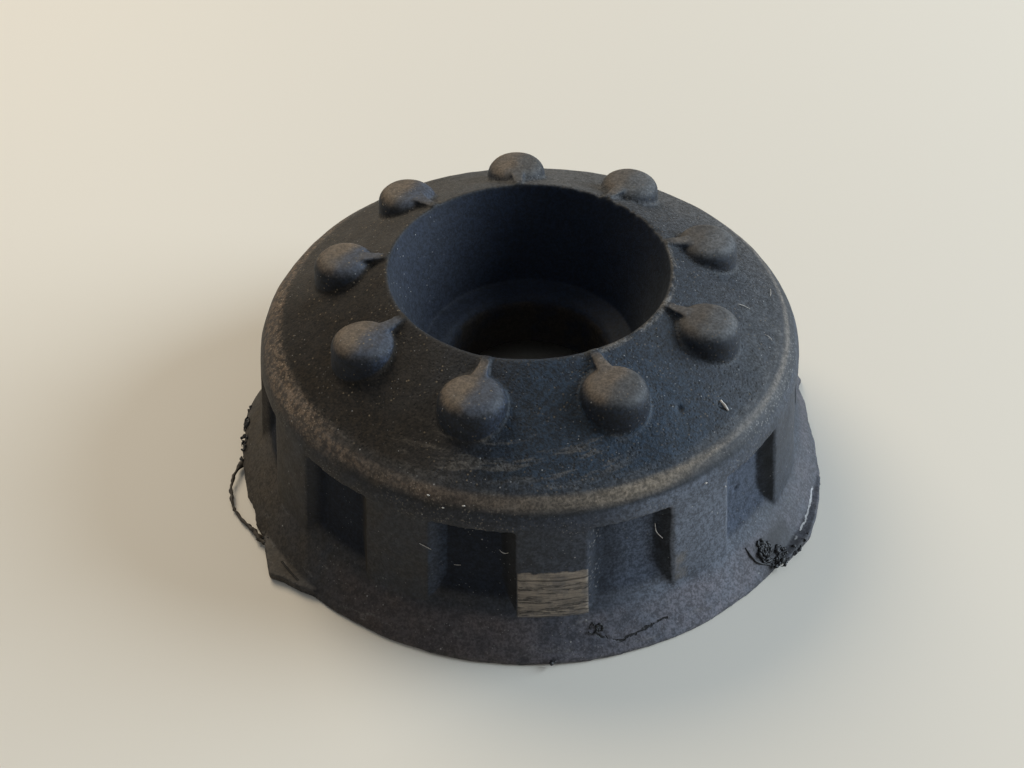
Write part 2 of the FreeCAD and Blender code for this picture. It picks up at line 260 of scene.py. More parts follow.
voxel = 0.42
pieces = joined(ring, pads, knobs, *tongues)
faces = BVHTree.FromBMesh(pieces)
skin = through_modifier(pieces, "REMESH", mode="VOXEL", voxel_size=voxel)
relaxed(skin, 0.5, 2)
for vert in skin.verts:
    nearest = faces.find_nearest(vert.co, 0.4)[0]
    if nearest is not None:
        vert.co = vert.co.lerp(nearest, 0.85)  # all the way would bring the knife edges back
relaxed(skin, 0.3, 1)
print("skin:", len(skin.verts), "vertices")

# %% [markdown]
# ## Torn lip
#
# Where the lip is torn, the edge follows a ragged line. Such a tear could be cut with a jagged Boolean. Here
# every vertex that lies outside the line is drawn in to it, which keeps the skin closed and leaves a wall like
# a real torn face. The line is coarse in the lists and gets its fine teeth from noise.

# %% Torn lip
TORN_LEFT = [(154, 60.3), (156, 57.6), (160, 55.9), (165, 56.2), (168.4, 57.3), (170, 58.4), (173, 59.4),
             (177, 59.6), (180.5, 59.0), (185, 59.4), (190, 59.1), (196, 59.5), (200, 59.1), (203.5, 59.7),
             (204.5, 60.3)]
TORN_RIGHT = [(-20, 60.4), (-18, 59.8), (-14.5, 58.8), (-11, 58.0), (-7, 57.3), (-2, 57.7), (2, 57.1),
              (5, 58.1), (7, 59.5), (8, 60.3)]


def lip_limit(angle):
    """Radius that the lip reaches at an angle in degrees."""
    for outline in (TORN_LEFT, TORN_RIGHT):
        for turn in (angle, angle - 360):
            if outline[0][0] <= turn <= outline[-1][0]:
                return float(np.interp(turn, *zip(*outline)))
    return None


for vert in skin.verts:
    if vert.co.z > 7:
        continue
    angle = math.degrees(math.atan2(vert.co.y, vert.co.x)) % 360
    limit = lip_limit(angle)
    radius = vert.co.xy.length
    if radius < 55:
        continue
    here = Vector((angle * 0.3, 0, vert.co.z * 0.5))
    if limit is not None:
        limit += 0.35 * noise.noise(here) + 0.12 * noise.noise(here * 4.3)
    elif radius > 59 and vert.co.z < 1.5:
        limit = radius - 0.06 + 0.12 * noise.noise(here * 0.7)
    if limit is not None and radius > limit:
        vert.co.xy *= limit / radius

# %% [markdown]
# ## Worn surface
#
# Old rubber isn't as true as its mould. Its faces are a little wavy, and chips are missing from the bore's edge
# where something was pushed in. Both are small moves of the vertices, seeded by their place, so each run
# gives the same part.


# %% Worn surface
def bump_at(place, size, depth, middle):
    """A soft dent or swelling round a point."""
    away = (place - middle).length / size
    return depth * max(0.0, 1 - away * away) ** 2


CHIPS = [
    # angle, radius, height, size and depth of each chip
    (54, 26.7, 41.9, 1.0, 0.40), (49.5, 26.7, 41.9, 0.7, 0.30), (45, 26.7, 41.9, 1.3, 0.35),
    (36.5, 26.8, 41.9, 0.8, 0.4), (33, 26.7, 41.9, 1.1, 0.30), (24, 26.7, 41.9, 0.8, 0.3),
    (19, 26.8, 41.9, 1.2, 0.35), (63, 26.7, 41.9, 0.7, 0.25), (12, 26.7, 41.9, 0.8, 0.3),
    (100, 26.8, 41.9, 0.7, 0.2), (71, 26.7, 41.9, 0.6, 0.25),
    (314.6, 44.5, 33.4, 1.1, 0.6), (305, 40.9, 35.1, 0.9, 0.5), (312.8, 50.6, 17.7, 0.7, 0.6),
]
chips = [(on_circle(angle, radius, height), size, depth) for angle, radius, height, size, depth in CHIPS]
skin.normal_update()
for vert in skin.verts:
    wave = 0.16 * noise.noise(vert.co * 0.11) + 0.07 * noise.noise(vert.co * 0.33)
    dent = sum(bump_at(vert.co, size, depth, middle) for middle, size, depth in chips)
    vert.co += vert.normal * (wave - dent)
for vert in skin.verts:
    if vert.co.z < 0:
        vert.co.z = 0

# %% Fewer triangles
MOST_TRIANGLES = 185000
bmesh.ops.triangulate(skin, faces=skin.faces[:])
share = min(1.0, MOST_TRIANGLES / len(skin.faces))
skin = through_modifier(skin, "DECIMATE", ratio=share)
print("skin after thinning:", len(skin.faces), "triangles")


# %% [markdown]
# ## Wear and shade that follow the form
#
# Edges that stick out are rubbed pale, and sharp hollows are painted darker as shade. The renderer's pointiness
# could show this, but it changes with the mesh. So each vertex stores how far it stands out from its neighbours,
# smoothed a few times, in an attribute of its own that the material reads.


# %% Piece from a bmesh
def finished_piece(name, bm):
    """Brings a bmesh in millimetres down to metres as an object at the origin, on the one body."""
    bmesh.ops.recalc_face_normals(bm, faces=bm.faces[:])
    bmesh.ops.scale(bm, verts=bm.verts[:], vec=(0.001, 0.001, 0.001))
    mesh = bpy.data.meshes.new(name)
    bm.to_mesh(mesh)
    bm.free()
    for polygon in mesh.polygons:
        polygon.use_smooth = True
    piece = bpy.data.objects.new(name, mesh)
    scene.collection.objects.link(piece)
    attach(piece, "root")
    return piece


mount = finished_piece("moulded_ring", skin)
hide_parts("spring_mount")


# %% Edge attribute
def store_edges(mesh, rounds=4):
    """Attribute "edge": about 1 on sharp outer edges, -1 in sharp inner ones and 0 on flat faces."""
    count = len(mesh.vertices)
    place = np.empty(count * 3)
    mesh.vertices.foreach_get("co", place)
    place = place.reshape(count, 3) * 1000
    normal = np.empty(count * 3)
    mesh.vertices.foreach_get("normal", normal)
    normal = normal.reshape(count, 3)
    pairs = np.empty(len(mesh.edges) * 2, dtype=np.int64)
    mesh.edges.foreach_get("vertices", pairs)
    start, end = pairs.reshape(-1, 2).T
    span = place[end] - place[start]
    length = np.linalg.norm(span, axis=1) + 1e-9
    lean = np.zeros(count)
    number = np.zeros(count)
    for here, way in ((start, -1), (end, 1)):
        np.add.at(lean, here, way * np.einsum("ij,ij->i", span, normal[here]) / length)
        np.add.at(number, here, 1)
    lean /= number
    for _ in range(rounds):
        total = np.zeros(count)
        np.add.at(total, start, lean[end])
        np.add.at(total, end, lean[start])
        lean = 0.4 * lean + 0.6 * total / number
    attribute = mesh.attributes.new("edge", "FLOAT", "POINT")
    attribute.data.foreach_set("value", np.clip(lean * 4, -1, 1).astype(np.float32))
    print("edge attribute from", round(float(lean.min()), 3), "to", round(float(lean.max()), 3))


store_edges(mount.data)

# %% [markdown]
# ## Shader sums
#
# A worn finish is many masks added and multiplied. Linked by hand, such a net of nodes is hard to read. The
# class here wraps a socket, so that a sum written in Python adds its own Math nodes. Any other node comes from
# one method.


# %% Shader sums
class Signal:
    """A socket in a material. Arithmetic on signals adds Math nodes to the same material."""

    def __init__(self, tree, socket=None):
        self.tree = tree
        self.socket = socket

    def node(self, kind, settings=None, sockets=None, output=0):
        """A new node with its settings and socket values, and a signal from one of its outputs."""
        made = self.tree.nodes.new(kind)
        for name, value in (settings or {}).items():
            setattr(made, name, value)
        for name, value in (sockets or {}).items():
            if isinstance(value, Signal):
                self.tree.links.new(value.socket, made.inputs[name])
            else:
                made.inputs[name].default_value = value
        return Signal(self.tree, made.outputs[output])

    def maths(self, operation, *values, clamp=False):
        settings = {"operation": operation, "use_clamp": clamp}
        return self.node("ShaderNodeMath", settings, dict(enumerate(values)))

    def __add__(self, other):
        return self.maths("ADD", self, other)

    def __radd__(self, other):
        return self.maths("ADD", other, self)

    def __sub__(self, other):
        return self.maths("SUBTRACT", self, other)

    def __rsub__(self, other):
        return self.maths("SUBTRACT", other, self)

    def __mul__(self, other):
        return self.maths("MULTIPLY", self, other)

    def __rmul__(self, other):
        return self.maths("MULTIPLY", other, self)

    def kept(self):
        """The same signal, kept between 0 and 1."""
        return self.maths("ADD", self, 0.0, clamp=True)

    def peak(self, other):
        return self.maths("MAXIMUM", self, other)

    def rise(self, low, high):
        """0 up to low and 1 from high on, smooth between. With low above high it falls instead."""
        sockets = {"Value": self, "From Min": low, "From Max": high}
        return self.node("ShaderNodeMapRange", {"interpolation_type": "SMOOTHSTEP"}, sockets)

    def band(self, low, high, soft):
        """1 between two values and 0 outside them."""
        return self.rise(low - soft, low + soft) * self.rise(high + soft, high - soft)

    def vector(self, operation, *values, output=0):
        return self.node("ShaderNodeVectorMath", {"operation": operation}, dict(enumerate(values)), output)

    def parts(self):
        """The three numbers of a vector."""
        split = self.tree.nodes.new("ShaderNodeSeparateXYZ")
        self.tree.links.new(self.socket, split.inputs[0])
        return [Signal(self.tree, output) for output in split.outputs]

    def noise(self, size, detail=2.0, rough=0.5, shift=0.0, stretch=(1, 1, 1)):
        """Noise whose blotches are about that many millimetres across, in the vector's own coordinates."""
        scaled = self.vector("MULTIPLY", self, tuple(part / size for part in stretch))
        moved = scaled.vector("ADD", scaled, (shift, 1.7 * shift, 0.6 * shift))
        sockets = {"Vector": moved, "Scale": 1.0, "Detail": detail, "Roughness": rough}
        return self.node("ShaderNodeTexNoise", {}, sockets)

    def cells(self, size, shift=0.0):
        """Distance to the nearest of scattered points, in their spacing."""
        scaled = self.vector("MULTIPLY", self, (1 / size,) * 3)
        moved = scaled.vector("ADD", scaled, (shift, shift, shift))
        sockets = {"Vector": moved, "Scale": 1.0, "Randomness": 1.0}
        return self.node("ShaderNodeTexVoronoi", {}, sockets)

    def paint(self, under, over):
        """A colour laid over another, this signal being the upper one's cover."""
        settings = {"data_type": "RGBA", "blend_type": "MIX"}
        return self.node("ShaderNodeMix", settings, {0: self, 6: under, 7: over}, 2)

    def shade(self, colour):
        """A colour made darker or lighter by this signal."""
        settings = {"data_type": "RGBA", "blend_type": "MULTIPLY"}
        return self.node("ShaderNodeMix", settings, {0: 1.0, 6: colour, 7: self}, 2)

    def near_line(self, points, width):
        """1 on a line through points in millimetres, and 0 further from it than its width."""
        nearest = None
        for start, end in zip(points, points[1:]):
            start, along = Vector(start), Vector(end) - Vector(start)
            offset = self.vector("SUBTRACT", self, tuple(start))
            share = offset.vector("DOT_PRODUCT", offset, tuple(along / along.length_squared), output=1).kept()
            foot = share.node("ShaderNodeVectorMath", {"operation": "SCALE"}, {0: tuple(along), "Scale": share})
            away = foot.vector("DISTANCE", offset, foot, output=1)
            nearest = away if nearest is None else nearest.maths("MINIMUM", nearest, away)
        return nearest.rise(width, width * 0.3)


def grey(level, warmth=0.0):
    """A colour of that brightness, brownish if warmth is above 0 and bluish below."""
    return (level * (1 + warmth), level, level * (1 - 1.2 * warmth), 1)


# %% [markdown]
# ## Worn rubber and painted light
#
# The rubber is black, but hardly any of it looks black. Dust lies on its flat parts, the shoulder and the knobs are
# rubbed to a pale brown, the cone is full of grit, and the skirt has scuffs and a crack. Light and shade are
# painted
# in as well: lit and shaded sides, dark pockets and hollows, and a cool sheen. A photograph could be wrapped round
# it, but then the back would be bare. Each of these marks is a mask from the place on the part, from noise or from
# the edge attribute, so they go on all the way round.

# %% Rubber: places
rubber = bpy.data.materials.new("worn_rubber_and_painted_light")
rubber.use_nodes = True
tree = rubber.node_tree
shader = tree.nodes["Principled BSDF"]
start = Signal(tree)
metres = start.node("ShaderNodeTexCoord", output="Object")
spot = metres.vector("MULTIPLY", metres, (1000, 1000, 1000))
x, y, z = spot.parts()
radius = x.maths("SQRT", x * x + y * y)
angle = x.maths("ARCTAN2", x, y * -1) * (180 / math.pi)
round_way = start.node("ShaderNodeCombineXYZ", {}, {0: angle * 0.85, 1: radius, 2: z})
edge = start.node("ShaderNodeAttribute", {"attribute_name": "edge"}, output="Fac")
normal = start.node("ShaderNodeNewGeometry", output="Normal")
normal_x, normal_y, facing = normal.parts()

wide = spot.noise(26, 3, 0.55, 3)
blotch = spot.noise(5.5, 4, 0.6, 11)
fine = spot.noise(1.1, 3, 0.6, 5)
grit = spot.noise(0.45, 2, 0.6, 8)
streaks = round_way.noise(1.6, 4, 0.7, 21, (0.16, 1, 1))

# %% Rubber: regions
above_cone = z - (TOP - CONE_FALL * (radius - BORE))
knob = above_cone.rise(0.4, 1.2) * radius.band(27.5, 42.5, 0.4)
knob_top = knob * z.rise(39.4, 41.3) * facing.rise(0.40, 0.90)
step = 360 / KNOBS  # the place on a knob is measured from the nearest knob's middle
hub = x.maths("ROUND", (angle - step / 2) * (1 / step)) * math.radians(step) + math.radians(step / 2)
knob_x = x - KNOB_CIRCLE * x.maths("SINE", hub)
knob_y = y + KNOB_CIRCLE * x.maths("COSINE", hub)
# Back-left half of each knob, with a wobbly border.
knob_back_left_half = (0.55 * knob_y - 0.83 * knob_x + 5 * (blotch - 0.5)).rise(-1.8, 1.4)
on_top = z.rise(31.0, 32.4) * radius.rise(26.2, 26.9)
cone = on_top * (1 - knob)
bore = radius.rise(26.6, 26.2)
shoulder = z.rise(28.4, 30.2) * radius.rise(46.0, 48.0)
ridge = above_cone.rise(-3.4, -2.2) * radius.band(48.7, 50.4, 0.6)
ridge = ridge * (1 - 0.85 * x.rise(16, 32) * radius.rise(49.2, 49.9))
wide_ridge = ridge.peak(above_cone.rise(-3.8, -2.0) * radius.band(47.4, 50.9, 0.7) * x.rise(-32, -42))
skirt = radius.rise(50, 52) * z.rise(7.8, 5.6)
flank = z.band(8, 29, 1.0) * radius.rise(47, 48)
depth = (54.6 - (z - 7.2) * 0.1354) - radius
sunk = depth.rise(0.7, 2.0) * z.band(9.0, 25.8, 1.2) * radius.rise(47, 48)
sideways = (normal_x * y - normal_y * x) * (1 / 52)
right_wall = sideways.rise(-0.35, -0.70) * depth.rise(0.0, 0.20) * z.band(8.5, 26.0, 0.8) * radius.rise(47, 48)
left_wall = sideways.rise(0.35, 0.75) * depth.rise(0.15, 0.5) * z.band(7.5, 26.0, 0.8) * radius.rise(47, 48)
crushed = angle.band(43, 53, 2.0) * radius.rise(55.0, 56.5) * z.rise(6.5, 4.5)

# %% Rubber: colours
dust = (0.35 * wide.rise(0.42, 0.62) + 0.40 * blotch.rise(0.45, 0.75) + 0.25 * fine.rise(0.5, 0.75)).kept()
colour = (dust * 0.42).paint((0.0075, 0.0118, 0.0190, 1), grey(0.038, -0.18))
outside = z.rise(29.4, 28.4) * radius.rise(47, 48)
colour = (outside * (0.30 + 0.40 * dust) * (0.45 + 0.55 * x.rise(-48, 5))).paint(colour, (0.060, 0.069, 0.092, 1))
# Right flank: dust, and painted cool light where it faces the window, less round the far right.
right_dust_and_light = angle.band(14, 100, 10) * outside * (0.35 + 0.65 * wide.rise(0.30, 0.55))
right_dust_and_light = right_dust_and_light * (1 - 0.55 * angle.rise(38, 60))
colour = (right_dust_and_light * 0.70).paint(colour, (0.122, 0.136, 0.165, 1))
skirt_dust = skirt * (0.30 + 0.70 * blotch.rise(0.30, 0.65)) * x.rise(-48, -14)
colour = (skirt_dust * (0.82 + 0.10 * angle.rise(0, 25))).paint(colour, (0.118, 0.111, 0.125, 1))
# Pockets: painted shade in all of them, darker on the left, and painted cool light in those on the right.
colour = (sunk * 0.80).paint(colour, (0.010, 0.013, 0.019, 1))
colour = (sunk * x.rise(8, -14) * 0.75).paint(colour, (0.003, 0.007, 0.016, 1))
colour = (sunk * x.rise(6, 16) * 0.90).paint(colour, (0.074, 0.090, 0.124, 1))
# Pocket side walls: those facing left painted near black as shade, those facing right painted dark as shade, most
# at the front left, with painted bluish light on them a little left of the front.
colour = (left_wall * 0.97).paint(colour, grey(0.001))
colour = (right_wall * (0.45 + 0.52 * angle.rise(-28, -40))).paint(colour, (0.004, 0.007, 0.014, 1))
colour = (right_wall * angle.band(-31, -12, 3) * 0.8).paint(colour, (0.036, 0.050, 0.078, 1))
# Brown on the left: partly brown dirt, partly painted warm light from the left.
brown = x.rise(12, -34) * (0.40 + 0.60 * blotch.rise(0.35, 0.7)) * (1 - bore)
colour = (brown * 0.60 * (1 - 0.8 * sunk.peak(right_wall))).paint(colour, grey(0.023, 0.50))
colour = (skirt * angle.band(-42, -4, 6) * (0.25 + 0.45 * blotch)).paint(colour, (0.062, 0.043, 0.036, 1))
# Far left of the flank: warm grey, partly dirt and partly painted warm light from the left.
colour = (outside * x.rise(-40, -54) * (1 - sunk) * (0.35 + 0.5 * wide)).paint(colour, grey(0.048, 0.30))
back_dust = y.rise(-8, 34) * on_top * (0.5 + 0.5 * wide.rise(0.35, 0.6))
colour = (back_dust * 0.55).paint(colour, grey(0.080, 0.08))
far_dust = x.rise(22, 48) * on_top * (0.4 + 0.6 * blotch.rise(0.35, 0.65))
colour = (far_dust * 0.45).paint(colour, grey(0.090, 0.0))
# Front of the cone painted bluish: a painted sheen of the cool light.
colour = (cone * angle.band(-14, 44, 14) * y.rise(-18, -30) * 0.6).paint(colour, (0.011, 0.026, 0.046, 1))
# Left of the top painted darker and warm: painted shade.
colour = (on_top * x.rise(-4, -30) * 0.75).paint(colour, (0.016, 0.011, 0.006, 1))
# Bore: its back wall painted dark as shade, and its left wall painted lighter as light from the right.
colour = (bore * y.rise(-4, 12) * 0.75).paint(colour, (0.0020, 0.0080, 0.0240, 1))
colour = (bore * x.rise(0, -22) * 0.4).paint(colour, (0.042, 0.046, 0.058, 1))
# Knob sides painted dark: painted shade.
colour = (knob * facing.rise(0.85, 0.35) * 0.85).paint(colour, (0.005, 0.009, 0.017, 1))
throat = radius.rise(16.6, 16.0) * z.rise(20.5, 19.5)
colour = (throat * blotch.rise(0.3, 0.6) * 0.7).paint(colour, grey(0.022, 0.45))
# Sides of the left knobs that face right painted bluish: painted light from the right.
colour = (knob * normal_x.rise(0.15, 0.75) * x.rise(2, -18) * 0.75).paint(colour, (0.034, 0.046, 0.074, 1))
knob_dust_and_light = knob_top * (0.60 + 0.40 * blotch.rise(0.30, 0.62))
colour = (knob_dust_and_light * 0.60).paint(colour, grey(0.076, 0.08))
# Painted light and shade on the knob tops, over their dust: the back-left half painted warm brown, the front-right
# half painted dark blue-grey on the left knobs and pale grey on the right ones.
colour = (knob_dust_and_light * (1 - knob_back_left_half) * x.rise(4, -14) * 0.75).paint(colour, (0.045, 0.056, 0.080, 1))
colour = (knob_dust_and_light * knob_back_left_half * x.rise(45, -5) * 0.52).paint(colour, (0.180, 0.124, 0.076, 1))
colour = (knob_dust_and_light * (1 - knob_back_left_half) * x.rise(5, 30) * 0.45).paint(colour, grey(0.130, -0.04))
rubbed = wide_ridge * (0.58 + 0.42 * streaks.rise(0.38, 0.60)) * (0.70 + 0.30 * wide.rise(0.35, 0.55))
rubbed = rubbed * (1 - 0.6 * x.rise(-18, -38) * fine.rise(0.56, 0.44))
band_colour = x.rise(-22, 8).paint((0.190, 0.128, 0.080, 1), (0.290, 0.226, 0.155, 1))
band_colour = x.rise(22, 36).paint(band_colour, (0.190, 0.165, 0.140, 1))
colour = (rubbed * 0.88).paint(colour, band_colour)
colour = (shoulder * (0.3 + streaks.rise(0.40, 0.70)) * 0.40).kept().paint(colour, grey(0.09, 0.06))
grains = spot.cells(0.62, 27).rise(0.30, 0.14) * wide_ridge * blotch.rise(0.42, 0.62)
colour = (grains * (0.5 + 0.4 * x.rise(-5, -35))).paint(colour, (0.34, 0.27, 0.20, 1))
outer_dust = radius.band(49.6, 52.0, 0.5) * z.band(28.5, 33.0, 0.8) * angle.band(44, 80, 6)
colour = (outer_dust * spot.cells(0.55, 39).rise(0.42, 0.18) * 0.55).paint(colour, grey(0.20, 0.04))
rim_dust = radius.band(26.5, 27.6, 0.3) * on_top * angle.band(18, 100, 8) * streaks.rise(0.38, 0.55)
colour = (rim_dust * 0.55).paint(colour, grey(0.15, 0.12))
edge_wear = edge.rise(0.15, 0.6) * blotch.rise(0.3, 0.6) * radius.rise(27.4, 28.6) * (1 - flank)
colour = (edge_wear * 0.3).paint(colour, grey(0.10, 0.12))
scuffs = round_way.noise(2.2, 4, 0.72, 31, (0.35, 1, 1)).rise(0.58, 0.72)
colour = (scuffs * (skirt + shoulder * 0.5).kept() * 0.45).paint(colour, grey(0.15, 0.05))
rubbed_way = start.node("ShaderNodeCombineXYZ", {}, {0: angle * 0.85, 1: radius + 0.11 * angle, 2: z})
swirls = rubbed_way.noise(1.7, 3, 0.62, 28, (0.16, 1, 1)).rise(0.50, 0.64) * radius.band(39.5, 46.4, 1.5)
colour = (swirls * cone * angle.band(-34, 16, 8) * 0.5).paint(colour, grey(0.095, 0.16))
grain = (0.55 * grit + 0.45 * fine).rise(0.38, 0.64)
colour = (1 + (grain - 0.5) * (0.85 + 0.45 * on_top - 0.60 * knob_top)).shade(colour)
# Painted shade: the flank darker round the far right.
colour = (1 - 0.36 * angle.band(40, 105, 8) * outside).shade(colour)

# %% [markdown]
# ## Marks of their own
#
# The front pad's lower half is rubbed pale and fibrous, with creases along the ring. Two cracks and a glint run
# along the skirt. Such single marks could be modelled, but they are finer than the skin's triangles. So each is a
# mask at its place, and the deep ones also press the bump in.

# %% Rubber: worn front pad
ragged = 17.0 + 1.8 * (spot.noise(2.4, 3, 0.6, 44) - 0.5)
pad_face = angle.band(-6.5, 6.5, 0.2) * z.rise(6.9, 7.3) * (ragged - z).rise(-0.25, 0.15) * radius.rise(52.2, 52.6)
creases = round_way.noise(1.5, 4, 0.72, 41, (0.10, 1, 1.1))
long_crease = (z + 0.9 * (blotch - 0.5)).band(15.25, 15.45, 0.14)
crease = creases.band(0.488, 0.512, 0.012) * z.rise(14.6, 14.0) + long_crease
fibrous = round_way.noise(0.9, 3, 0.7, 47, (0.18, 1, 1.6))
worn = pad_face * (0.52 + 0.48 * spot.noise(2.2, 4, 0.7, 43).rise(0.35, 0.6))
fibre_tone = fibrous.rise(0.30, 0.70).paint((0.172, 0.142, 0.114, 1), (0.330, 0.275, 0.215, 1))
colour = (worn * 0.95).paint(colour, fibre_tone)
colour = (pad_face * crease.kept() * 0.75).paint(colour, grey(0.018))
side_patch = angle.band(23.9, 26.6, 0.5) * z.band(8.4, 14.4, 1.0) * depth.rise(0.5, 0.3) * flank
side_patch = side_patch * blotch.rise(0.3, 0.5)
colour = (side_patch * 0.5).paint(colour, grey(0.12, 0.22))

# %% Rubber: grit, speckles and cracks
pits = spot.cells(0.9, 3).rise(0.34, 0.16) * spot.noise(3, 2, 0.5, 51).rise(0.42, 0.55)
specks = spot.cells(2.9, 9).rise(0.065, 0.030) * spot.noise(14, 2, 0.5, 61).rise(0.42, 0.6)
specks = specks.peak(spot.cells(1.7, 19).rise(0.075, 0.040) * spot.noise(9, 2, 0.5, 67).rise(0.40, 0.55) * on_top)
tiny = spot.cells(0.9, 17).rise(0.15, 0.07) * spot.noise(7, 3, 0.6, 63).rise(0.47, 0.60)
ceiling_dust = z.band(25.6, 28.2, 0.8) * radius.rise(49, 50) * spot.cells(0.5, 23).rise(0.30, 0.15)
colour = (pits * cone * x.rise(-25, 5) * 0.75).paint(colour, grey(0.007))
warm_specks = spot.cells(1.1, 71).rise(0.20, 0.10) * spot.noise(5, 3, 0.6, 73).rise(0.42, 0.58) * on_top
colour = (warm_specks * (0.35 + 0.45 * x.rise(10, -30))).paint(colour, grey(0.16, 0.30))
speckled = (specks + tiny * 0.5).kept() * (1 - bore * x.rise(-12, -20) * 0.5 - bore * x.rise(-20, -12))
speckled = speckled.peak(spot.cells(1.5, 81).rise(0.11, 0.05) * bore * x.rise(-14, -22) * z.rise(21, 24))
colour = (speckled * 0.75).paint(colour, grey(0.36, 0.03))
colour = (ceiling_dust * blotch.rise(0.45, 0.65) * 0.6).paint(colour, grey(0.20, 0.08))
front_dust = z.band(25.8, 30.5, 0.8) * angle.band(-34, -4, 3) * spot.cells(0.55, 33).rise(0.34, 0.18)
colour = (front_dust * fine.rise(0.42, 0.55) * 0.55).paint(colour, grey(0.17, 0.18))
wall_dust = right_wall * angle.rise(-18, -8) * spot.cells(0.7, 37).rise(0.36, 0.16)
colour = (wall_dust * blotch.rise(0.35, 0.55) * 0.6).paint(colour, grey(0.20, 0.0))
SKIRT_CRACK = [(7.5, -56.8, 4.0), (9.6, -57.6, 3.2), (11.9, -57.4, 2.5), (16.1, -55.7, 3.2), (20.3, -53.9, 3.6)]
LIP_CRACK = [(-49.0, -34.7, 1.7), (-47.2, -37.4, 1.7), (-45.8, -39.2, 1.7)]
wobble = spot.vector("ADD", spot, spot.node("ShaderNodeTexNoise", {}, {"Vector": spot, "Scale": 0.9}, "Color"))
wobble = wobble.vector("SUBTRACT", wobble, (0.5, 0.5, 0.5))
crack = wobble.near_line(SKIRT_CRACK, 0.28).peak(spot.near_line(LIP_CRACK, 0.22))
LIP_GLINT = [(53.7, -24.0, 1.9), (52.6, -27.9, 1.8), (50.5, -32.4, 1.8), (47.5, -36.6, 1.8)]
glint = wobble.near_line(LIP_GLINT, 0.30) * blotch.rise(0.35, 0.45)
colour = (crack * 0.9).paint(colour, grey(0.006))
colour = (glint * 0.85).paint(colour, grey(0.55, 0.02))
# Sharp inner edges painted darker: painted shade.
colour = (edge.rise(-0.25, -0.7) * 0.2).paint(colour, grey(0.006))
colour = (crushed * blotch.rise(0.25, 0.5) * 0.75).paint(colour, grey(0.014))

# %% Rubber: shader
tree.links.new(colour.socket, shader.inputs["Base Color"])
roughness = (0.58 + 0.14 * blotch + 0.10 * rubbed + 0.10 * dust + 0.08 * bore
             + 0.3 * left_wall.peak(sunk) + 0.20 * cone * x.rise(-8, -34) * y.rise(14, -6)).kept()
tree.links.new(roughness.socket, shader.inputs["Roughness"])
shader.inputs["Specular IOR Level"].default_value = 0.4
height = (0.05 * fine + 0.04 * grit + 0.06 * cone * grit + 0.02 * cone * fine - 0.06 * pits * cone
          - 0.35 * crack - 0.22 * pad_face * crease + 0.10 * worn * creases)
bump = start.node("ShaderNodeBump", {}, {"Strength": 1.0, "Distance": 0.001, "Height": height})
tree.links.new(bump.socket, shader.inputs["Normal"])
mount.data.materials.append(rubber)
print("rubber:", len(tree.nodes), "nodes")

# %% [markdown]
# ## Loose strand
#
# The torn lip has left a thin strand that hangs loose at the left. It could be modelled from a tube by hand, but a
# curve with a round bevel takes a thickness at each point, so it gives the shape at once. Its mesh is then
# roughened.


# %% Strands
def strand(points, thickness, roughen=0.0, seed=0):
    """A bmesh tube through (x, y, z) points in millimetres, with a thickness at each."""
    curve = bpy.data.curves.new("strand", "CURVE")
    curve.dimensions = "3D"
    curve.bevel_depth = 1.0
    curve.bevel_resolution = 2
    curve.use_fill_caps = True
    line = curve.splines.new("NURBS")
    line.points.add(len(points) - 1)
    for point, place, thick in zip(line.points, points, thickness):
        point.co = (*place, 1)
        point.radius = thick / 2
    line.order_u = 3
    line.use_endpoint_u = True
    line.resolution_u = 6
    work = bpy.data.objects.new("strand", curve)
    mesh = bpy.data.meshes.new_from_object(work)
    bpy.data.objects.remove(work)
    bm = bmesh.new()
    bm.from_mesh(mesh)
    bpy.data.meshes.remove(mesh)
    bmesh.ops.remove_doubles(bm, verts=bm.verts[:], dist=0.0001)
    bm.normal_update()
    for vert in bm.verts:
        vert.co += vert.normal * roughen * noise.noise(vert.co * 1.3 + Vector((seed, 0, 0)))
        vert.co.z = max(vert.co.z, 0.0)
    return bm


torn_strand = strand(
    [on_circle(187.5, 59.3, 1.2), on_circle(189.5, 61.0, 1.4), on_circle(192.9, 62.2, 1.2),
     on_circle(196.9, 62.9, 0.9), on_circle(199.5, 62.6, 0.5), on_circle(202.4, 61.9, 0.6),
     on_circle(205.9, 60.6, 0.9), on_circle(208.4, 60.7, 1.0), on_circle(210.2, 60.2, 1.3)],
    [1.4, 0.7, 0.55, 0.5, 0.7, 0.6, 0.9, 1.0, 0.7], 0.5)
torn = finished_piece("torn_strand", torn_strand)
torn.data.materials.append(rubber)

# %% [markdown]
# ## Crumbled lip
#
# Where the lip is crushed, it has crumbled into short curled threads. Each could be sculpted, but at this size
# only the mess of dark curls shows. So a curl is a short strand through points that wind round a middle, and a
# seeded draw sets where it lies, how far it winds and how thick it is.


# %% Curls
def on_skirt(angle, radius, lift):
    """A point just above the skirt, or above the lip beyond it."""
    return on_circle(angle, radius, max(1.2, 0.8 + 1.185 * (LIP - radius)) + lift)


def curl(draw, angle, radius, size, widths):
    """A short thread wound round a point of the skirt."""
    turn = draw.uniform(0, math.tau)
    sweep = draw.choice((-1, 1)) * draw.uniform(0.5, 1.3)
    points = []
    for _ in range(6):
        reach = size * draw.uniform(0.3, 0.55)
        points.append(on_skirt(angle + reach * math.cos(turn), radius + 0.65 * reach * math.sin(turn),
                               draw.uniform(0.0, 0.25 * size)))
        turn += sweep
    return strand(points, [draw.uniform(*widths) for _ in points], 0.45, draw.uniform(0, 90))


def heap(draw, count, angles, radii, sizes, widths=(0.2, 0.6)):
    return [curl(draw, draw.uniform(*angles), draw.uniform(*radii), draw.uniform(*sizes), widths)
            for _ in range(count)]


